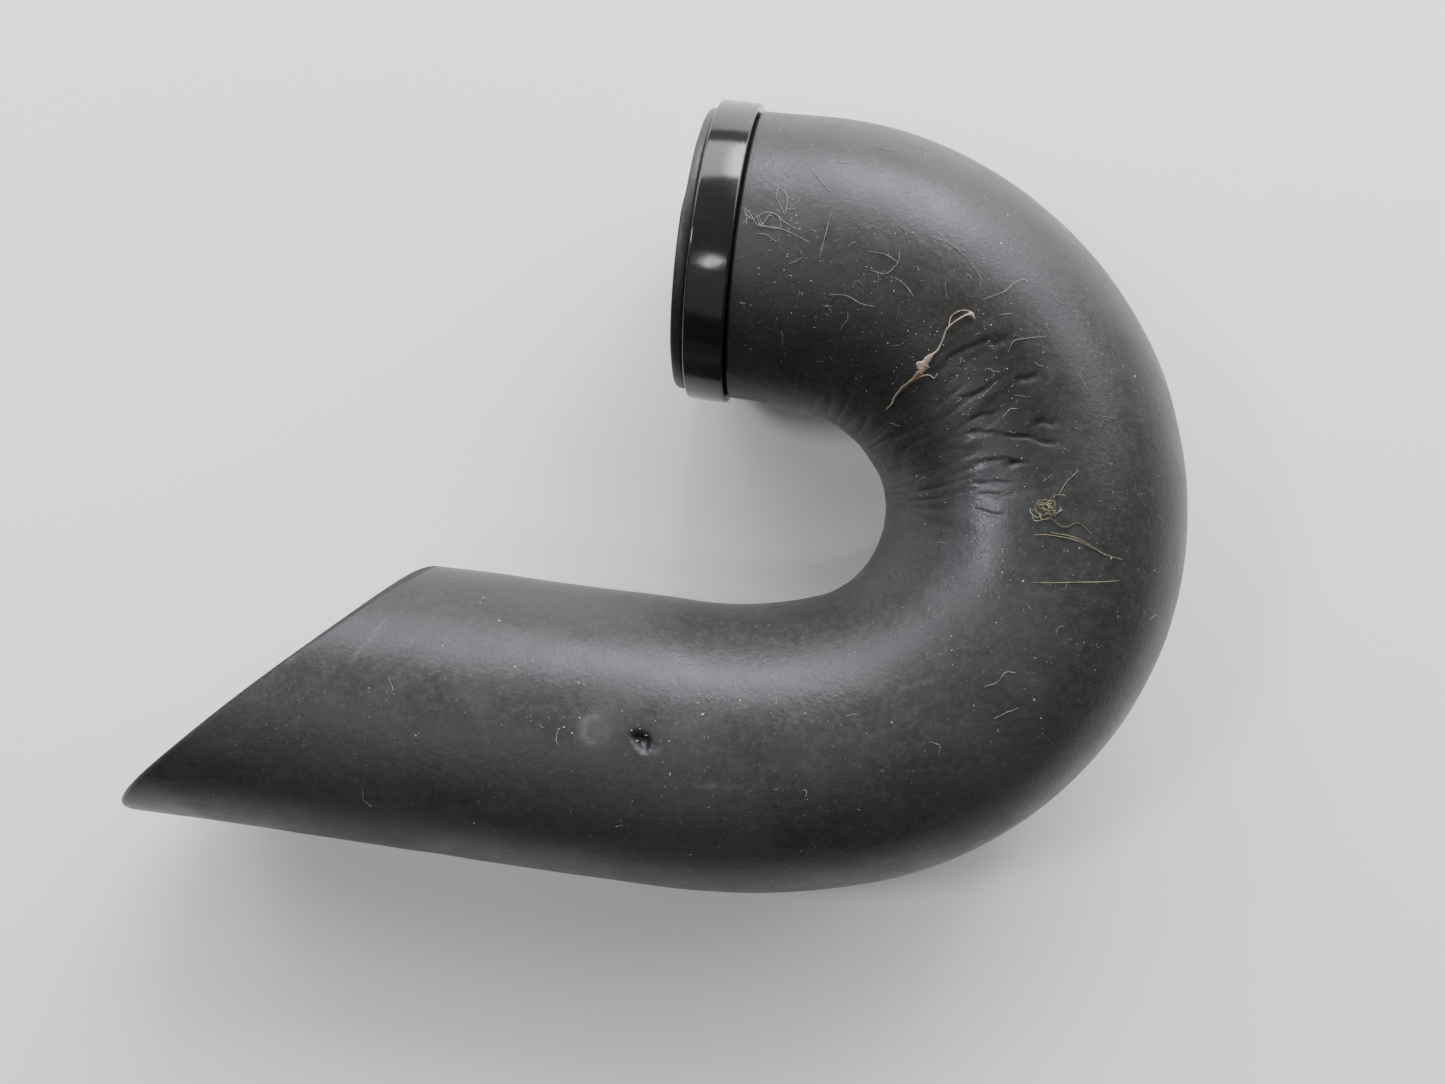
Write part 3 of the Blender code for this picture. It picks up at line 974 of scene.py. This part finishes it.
def smoothPath(stops, count):
    # Catmull-Rom: (2B + (C-A)t + (2A-5B+4C-D)t^2 + (3B-A-3C+D)t^3) / 2
    stops = np.array(stops, float)
    padded = np.vstack([2 * stops[0] - stops[1], stops, 2 * stops[-1] - stops[-2]])
    t = np.linspace(0.0, len(stops) - 1.0, count)
    i = np.minimum(t.astype(int), len(stops) - 2)
    t = (t - i)[:, None]
    a, b, c, d = (padded[i + k] for k in range(4))
    return (2 * b + (c - a) * t + (2 * a - 5 * b + 4 * c - d) * t ** 2 + (3 * b - a - 3 * c + d) * t ** 3) / 2


def strandMesh(points, outward, width, thickness, sides):
    # rings of point + across width cos t + outward thickness sin t, closed with a point at both ends
    along = unit(np.gradient(points, axis=0))
    across = unit(np.cross(along, outward))
    up = np.cross(across, along)
    t = np.linspace(0.0, 2 * np.pi, sides, endpoint=False)
    rings = (
        points[:, None]
        + across[:, None] * (width[:, None] * np.cos(t))[..., None]
        + up[:, None] * (thickness[:, None] * np.sin(t))[..., None]
    )
    count = len(points)
    i, j = np.meshgrid(np.arange(count - 1), np.arange(sides), indexing="ij")
    k = (j + 1) % sides
    near, far = i * sides, (i + 1) * sides
    walls = np.stack([near + j, near + k, far + k, far + j], axis=-1).reshape(-1, 4)
    first, last = count * sides, count * sides + 1
    j = np.arange(sides)
    k = (j + 1) % sides
    starts = np.stack([np.full(sides, first), k, j], axis=1)
    ends = np.stack([np.full(sides, last), (count - 1) * sides + j, (count - 1) * sides + k], axis=1)
    tips = np.stack([points[0] - along[0] * width[0], points[-1] + along[-1] * width[-1]])
    return np.vstack([rings.reshape(-1, 3), tips]), walls.tolist() + starts.tolist() + ends.tolist()


def joinMeshes(parts):
    points, faces, count = [], [], 0
    for partPoints, partFaces in parts:
        points.append(partPoints)
        faces += [[corner + count for corner in face] for face in partFaces]
        count += len(partPoints)
    return np.vstack(points).tolist(), faces


def hairAlong(stops, width, draws, count=28, sides=5, lift=0.0003):
    # the hair follows its stops, its ends on the skin and its middle lifted by a slow wave
    path = smoothPath(stops, count)
    share = np.linspace(0.0, 1.0, count)
    rise = lift * np.abs(np.sin(np.pi * (share * draws.uniform(0.8, 2.2) + draws.uniform(0.0, 1.0))))
    path = np.column_stack([path, width + rise])
    points = skinPoint(path)
    taper = width * (0.45 + 0.55 * np.sin(np.pi * np.clip(share, 0.04, 0.96)) ** 0.5)
    return strandMesh(points, skinOutward(path, points), taper, taper, sides)


def looseHair(draws):
    # a random walk on the skin: the heading turns by a steady curl and a little noise
    length, steps = 0.8 + 5.0 * draws.random() ** 2, 7
    middle = draws.choice([30.0, 60.0, 90.0, 150.0, 240.0], p=[0.34, 0.26, 0.2, 0.12, 0.08])
    place = 16.0 + abs(draws.normal(middle, 20.0) - 16.0)
    degrees = draws.normal(88.0, 34.0)
    heading = draws.uniform(0, 2 * np.pi) + np.cumsum(draws.normal(draws.uniform(-0.4, 0.4), 0.3, steps))
    x = place + np.cumsum(np.cos(heading)) * length / steps
    y = degrees + np.cumsum(np.sin(heading)) * length / steps * lint["degreesPerMm"]
    reach = np.column_stack([np.maximum(x, 14.2), y])
    return hairAlong(reach, draws.uniform(0.00002, 0.000045), draws, 14, 4, 0.0002)


def clumpHair(draws):
    # a short curl round the middle of the knot
    place, degrees, reach = lint["clump"]
    turn = draws.uniform(0, 2 * np.pi) + np.cumsum(draws.normal(0.35, 0.75, 6))
    size = reach * draws.uniform(0.25, 1.0)
    shift = draws.normal(0.0, reach * 0.7, 2)
    x = place + shift[0] + size * np.cos(turn)
    y = degrees + lint["degreesPerMm"] * (shift[1] + size * np.sin(turn))
    return hairAlong(np.column_stack([x, y]), draws.uniform(0.00004, 0.00007), draws, 20, 4, 0.0009)


def lintMaterial(name, pale, dark, roughness):
    material, tree, shader, vector = newMaterial(name, pale, roughness, Specular_IOR_Level=0.4)
    tone = addNode(tree, "ShaderNodeTexNoise", Scale=260.0, Detail=3.0, Roughness=0.7)
    link(tree, vector, tone.inputs["Vector"])
    share = spread(tree, tone.outputs["Fac"], 0.35, 0.68)
    link(tree, blendColours(tree, share, dark, pale), shader.inputs["Base Color"])
    rough = sums(tree, "ADD", scaled(tree, tone.outputs["Fac"], 0.3), roughness - 0.15, clamp=True)
    link(tree, rough, shader.inputs["Roughness"])
    bumpOf(tree, shader, tone.outputs["Fac"], 0.4, 0.0001)
    return material


def makeHairs():
    draws = np.random.default_rng(lint["seed"])
    pale = [hairAlong(stops, lint["hairWidth"], draws) for stops in lint["paleHairs"]]
    pale += [looseHair(draws) for _ in range(lint["looseHairs"])]
    material = lintMaterial("paleLint", (0.36, 0.34, 0.30), (0.16, 0.15, 0.13), 0.6)
    newPiece("lintHairs", *joinMeshes(pale), material, None)
    tan = [hairAlong(stops, lint["strawWidth"], draws) for stops in lint["straws"]]
    tan += [clumpHair(draws) for _ in range(lint["clumpHairs"])]
    material = lintMaterial("dryStraw", (0.36, 0.30, 0.19), (0.15, 0.12, 0.07), 0.55)
    newPiece("strawBits", *joinMeshes(tan), material, None)


def makeGrass():
    # a stem that opens into a small torn leaf: half width = stem + leaf x hill(share - place, spread)
    draws = np.random.default_rng(lint["seed"] + 1)
    count = 130
    path = smoothPath(lint["grass"], count)
    share = np.linspace(0.0, 1.0, count)
    lift = 0.0004 + 0.0007 * np.sin(np.pi * share) ** 2 + 0.0003 * np.sin(9.0 * share)
    torn = softNoise(share * 34.0, share * 0.0, 41)
    leaf = hill(share - lint["leafPlace"], 0.055) + 0.5 * hill(share - lint["leafPlace"] + 0.13, 0.06)
    width = lint["grassWidth"] * (1.0 + 0.35 * softNoise(share * 22.0, share * 0.0, 42))
    width += lint["leafWidth"] * leaf * (0.8 + 0.45 * torn)
    width += 0.0004 * hill(share - 0.93, 0.02)
    width *= ramp(share, -0.01, 0.03) * ramp(share, 1.01, 0.97) * 0.8 + 0.2
    thickness = np.minimum(width, 0.00016 + 0.00008 * (1 - leaf))
    path = np.column_stack([path, lift])
    points = skinPoint(path)
    tilt = (0.5 * np.sin(7.0 * share) + 0.25)[:, None]
    along, outward = unit(np.gradient(points, axis=0)), unit(skinOutward(path, points))
    outward = outward * np.cos(tilt) + np.cross(along, outward) * np.sin(tilt)
    parts = [strandMesh(points, outward, width, thickness, 8)]
    for stops, halfWidth, lift in lint["shoots"]:
        parts.append(hairAlong(stops, halfWidth, draws, 30, 6, lift))
    material = lintMaterial("dryGrass", (0.42, 0.32, 0.25), (0.18, 0.14, 0.09), 0.6)
    newPiece("dryGrassStrand", *joinMeshes(parts), material, None)


def makeFlecks():
    # squashed eight-sided crumbs: corner = point + (across a + along b) size + outward thickness
    draws = np.random.default_rng(lint["seed"] + 2)
    count = lint["flecks"]
    middles = draws.choice([25.0, 55.0, 90.0, 140.0, 230.0], size=count, p=[0.3, 0.25, 0.2, 0.13, 0.12])
    place = 15.0 + np.abs(draws.normal(middles, 24.0) - 15.0)
    degrees = draws.normal(92.0, 38.0, count)
    size = 0.00004 + 0.00013 * draws.random(count) ** 4
    crumbs = np.array(lint["crumbs"])
    place = np.append(place, crumbs[:, 0])
    degrees = np.append(degrees, crumbs[:, 1])
    size = np.append(size, crumbs[:, 2] / 1000)
    count = len(place)
    path = np.column_stack([place, degrees, 0.00004 + size * 0.2])
    centre = skinPoint(path)
    outward = unit(skinOutward(path, centre))
    along = skinPoint(path + [0.5, 0.0, 0.0]) - centre
    along = unit(along - outward * np.einsum("ij,ij->i", along, outward)[:, None])
    across = np.cross(outward, along)
    spin = draws.uniform(0, 2 * np.pi, count)[:, None] + np.array([0.0, 1.3, 3.0, 4.6])
    reach = size[:, None] * draws.uniform(0.5, 1.6, (count, 4))
    rim = (
        along[:, None] * (reach * np.cos(spin))[..., None]
        + across[:, None] * (reach * np.sin(spin))[..., None]
    )
    poles = outward[:, None] * (size * 0.45)[:, None, None] * np.array([1.0, -1.0])[None, :, None]
    points = centre[:, None] + np.concatenate([rim, poles], axis=1)
    shape = [(0, 1, 4), (1, 2, 4), (2, 3, 4), (3, 0, 4), (1, 0, 5), (2, 1, 5), (3, 2, 5), (0, 3, 5)]
    faces = (np.arange(count)[:, None, None] * 6 + np.array(shape)[None]).reshape(-1, 3)
    material = lintMaterial("paleDust", (0.48, 0.46, 0.42), (0.22, 0.19, 0.14), 0.7)
    newPiece("dustFlecks", points.reshape(-1, 3).tolist(), faces.tolist(), material, None)


makeHairs()
makeGrass()
makeFlecks()
print("lint and dust laid")


daylight = (0.96, 0.97, 1.0)
studio = {
    "floorSize": 12.0,
    "floorColour": (0.81, 0.807, 0.80),
    "floorRoughness": 0.42,
    "floorGap": 0.0002,
    "world": (0.9, 0.95, 1.0),
    "worldStrength": 0.02,
    "distance": 1.7,
    # name, heading, elevation, half width and half height in degrees, brightness, colour
    "panels": [
        ("rightWindow", 42.0, 40.0, 17.0, 17.0, 5.6, daylight),
        ("rightLow", 50.0, 12.0, 16.0, 10.0, 4.5, daylight),
        ("nearWindow", 72.0, 29.0, 15.0, 15.0, 18.0, daylight),
        ("farWindow", 106.0, 28.0, 18.0, 15.0, 7.0, daylight),
        ("leftWindow", 136.0, 32.0, 12.0, 14.0, 5.0, daylight),
        ("leftPane", 169.0, 53.0, 4.0, 4.0, 55.0, daylight),
        ("frontFill", 245.0, 48.0, 16.0, 16.0, 0.45, (1.0, 0.98, 0.94)),
        ("smallLamp", 229.0, 71.0, 2.0, 3.5, 30.0, (1.0, 1.0, 1.0)),
    ],
}
view = {"place": (0.0177, -0.0108, 0.3740), "lens": 34.58, "sensor": 36.0}


def makeFloor():
    half = studio["floorSize"] / 2
    mesh = bpy.data.meshes.new("floor")
    corners = [(-half, -half, 0), (half, -half, 0), (half, half, 0), (-half, half, 0)]
    mesh.from_pydata(corners, [], [(0, 1, 2, 3)])
    floor = newObject("floor", mesh)
    floor.location.z = cadBox[0][2] - studio["floorGap"]
    board = newMaterial("paleBoard", studio["floorColour"], studio["floorRoughness"], Specular_IOR_Level=0.4)
    mesh.materials.append(board[0])


def makePanel(name, heading, elevation, halfWidth, halfHeight, brightness, colour):
    # a rectangle on a dome, facing the tube; its power is brightness x area x pi
    heading, elevation = math.radians(heading), math.radians(elevation)
    flat = math.cos(elevation)
    direction = Vector((flat * math.cos(heading), flat * math.sin(heading), math.sin(elevation)))
    lamp = bpy.data.lights.new(name, "AREA")
    lamp.shape = "RECTANGLE"
    lamp.size = 2 * studio["distance"] * math.tan(math.radians(halfWidth))
    lamp.size_y = 2 * studio["distance"] * math.tan(math.radians(halfHeight))
    lamp.energy = brightness * lamp.size * lamp.size_y * math.pi
    lamp.color = colour
    panel = newObject(name, lamp)
    panel.location = direction * studio["distance"]
    panel.rotation_euler = direction.to_track_quat("Z", "Y").to_euler()


def makeCamera():
    camera = newObject("camera", bpy.data.cameras.new("camera"))
    camera.data.lens = view["lens"]
    camera.data.sensor_width = view["sensor"]
    camera.location = view["place"]
    bpy.context.scene.camera = camera


def makeWorld():
    world = bpy.data.worlds.new("studio")
    world.use_nodes = True
    background = world.node_tree.nodes["Background"]
    background.inputs["Color"].default_value = (*studio["world"], 1.0)
    background.inputs["Strength"].default_value = studio["worldStrength"]
    bpy.context.scene.world = world


makeFloor()
for panel in studio["panels"]:
    makePanel(*panel)
makeCamera()
makeWorld()
print("studio made")
